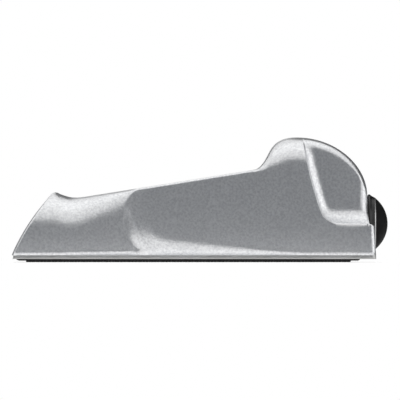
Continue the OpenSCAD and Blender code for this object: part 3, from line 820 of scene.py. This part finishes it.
# Studio
def emission(name, level):
    material, tree = new_material(name)
    cool = grey(1, (0.96, 1.0, 1.06))
    finish_material(tree, add(tree, "ShaderNodeEmission", {"Color": cool, "Strength": level}).outputs[0])
    return material


def studio_card(name, turns, heights, level):
    """A curved grey card that stands round the object, out of the camera's sight.
    turns are degrees from the photograph's camera towards the knob, and heights degrees above the floor."""
    columns, rows = 24, 8
    radius = 1.9
    verts = []
    for e in np.radians(np.linspace(*heights, rows + 1)):
        for a in np.radians(np.linspace(*turns, columns + 1)):
            level_r = radius * math.cos(e)
            verts.append((level_r * math.sin(a), -level_r * math.cos(a), radius * math.sin(e)))
    across = columns + 1
    faces = []
    for r in range(rows):
        for c in range(columns):
            a = r * across + c
            faces.append((a, a + 1, a + across + 1, a + across))
    card = mesh_object(name, verts, faces)
    card.visible_camera = False
    set_material(card, emission(name, level))


# Half the length and half the width of the oval floor
FLOOR_X, FLOOR_Y = 0.15, 0.065


def floor_material():
    """White floor that keeps the object's shadow and turns into plain white further out."""
    material, tree = new_material("floor")
    where = add(tree, "ShaderNodeNewGeometry").outputs["Position"]
    links = {0: where, 1: (1 / FLOOR_X, 1 / FLOOR_Y, 0)}
    oval = add(tree, "ShaderNodeVectorMath", links, operation="MULTIPLY").outputs[0]
    distance = add(tree, "ShaderNodeVectorMath", {0: oval}, operation="LENGTH").outputs["Value"]
    far = remap(tree, distance, 0.65, 0.97, 0, 1)
    path = add(tree, "ShaderNodeLightPath").outputs
    camera_or_glossy = maths(tree, "MAXIMUM", path["Is Camera Ray"], path["Is Glossy Ray"])
    seen = maths(tree, "MAXIMUM", camera_or_glossy, path["Is Transmission Ray"])
    lit = add(tree, "ShaderNodeBsdfDiffuse", {"Color": grey(0.8)}).outputs[0]
    strength = maths(tree, "MULTIPLY", seen, 0.42)
    glow = add(tree, "ShaderNodeEmission", {"Color": grey(1), "Strength": strength}).outputs[0]
    near = add(tree, "ShaderNodeAddShader", {0: lit, 1: glow}).outputs[0]
    plain = add(tree, "ShaderNodeEmission", {"Color": grey(1), "Strength": 1.0}).outputs[0]
    share = maths(tree, "MULTIPLY", far, seen)
    finish_material(tree, add(tree, "ShaderNodeMixShader", {0: share, 1: near, 2: plain}).outputs[0])
    return material


def make_floor():
    turn = np.linspace(0, 2 * math.pi, 96, endpoint=False)
    rim = [(FLOOR_X * math.cos(a), FLOOR_Y * math.sin(a), 0) for a in turn]
    floor = mesh_object("floor", rim, [tuple(range(len(rim)))])
    set_material(floor, floor_material())


def softbox(name, at, size, level):
    """An area lamp that faces the object. level is its brightness, where 1 is white."""
    data = bpy.data.lights.new(name, "AREA")
    data.shape = "RECTANGLE"
    data.size, data.size_y = size
    data.energy = level * math.pi * size[0] * size[1]
    lamp = new_object(name, data)
    lamp.location = at
    lamp.rotation_euler = (Vector((0, 0, 0.03)) - Vector(at)).to_track_quat("-Z", "Y").to_euler()


def make_studio():
    world = bpy.data.worlds.new("studio")
    bpy.context.scene.world = world
    world.use_nodes = True
    world.node_tree.nodes.clear()
    backdrop = add(world.node_tree, "ShaderNodeBackground", {"Color": grey(1), "Strength": 1.0})
    out = add(world.node_tree, "ShaderNodeOutputWorld")
    world.node_tree.links.new(backdrop.outputs[0], out.inputs["Surface"])
    studio_card("card_front", (-50, 42), (-70, 26), 0.22)
    studio_card("card_back", (130, 222), (-70, 4), 0.2)
    studio_card("card_crest", (92, 181), (4, 40), 0.02)
    studio_card("card_toe", (181, 268), (4, 18), 0.05)
    softbox("lamp_top", (0, 0, 1.3), (1.6, 1.2), 0.27)
    softbox("lamp_knob_side", (1.3, -0.1, 0.35), (0.9, 0.9), 0.6)
    make_floor()


def make_camera():
    """The photograph's camera: square on to the side, from far enough to show almost no perspective."""
    data = bpy.data.cameras.new("camera")
    # A much longer lens would put the object past the camera's far limit
    data.lens = 1500
    data.sensor_width = 36
    frame_width = 0.162
    side_y = -0.015
    camera = new_object("camera", data)
    camera.location = (0.0001, side_y - frame_width * data.lens / data.sensor_width, 0.0252)
    camera.rotation_euler = (math.pi / 2, 0, 0)
    data.clip_end = 50
    bpy.context.scene.camera = camera


make_studio()
make_camera()
bpy.context.scene.view_settings.view_transform = "Standard"
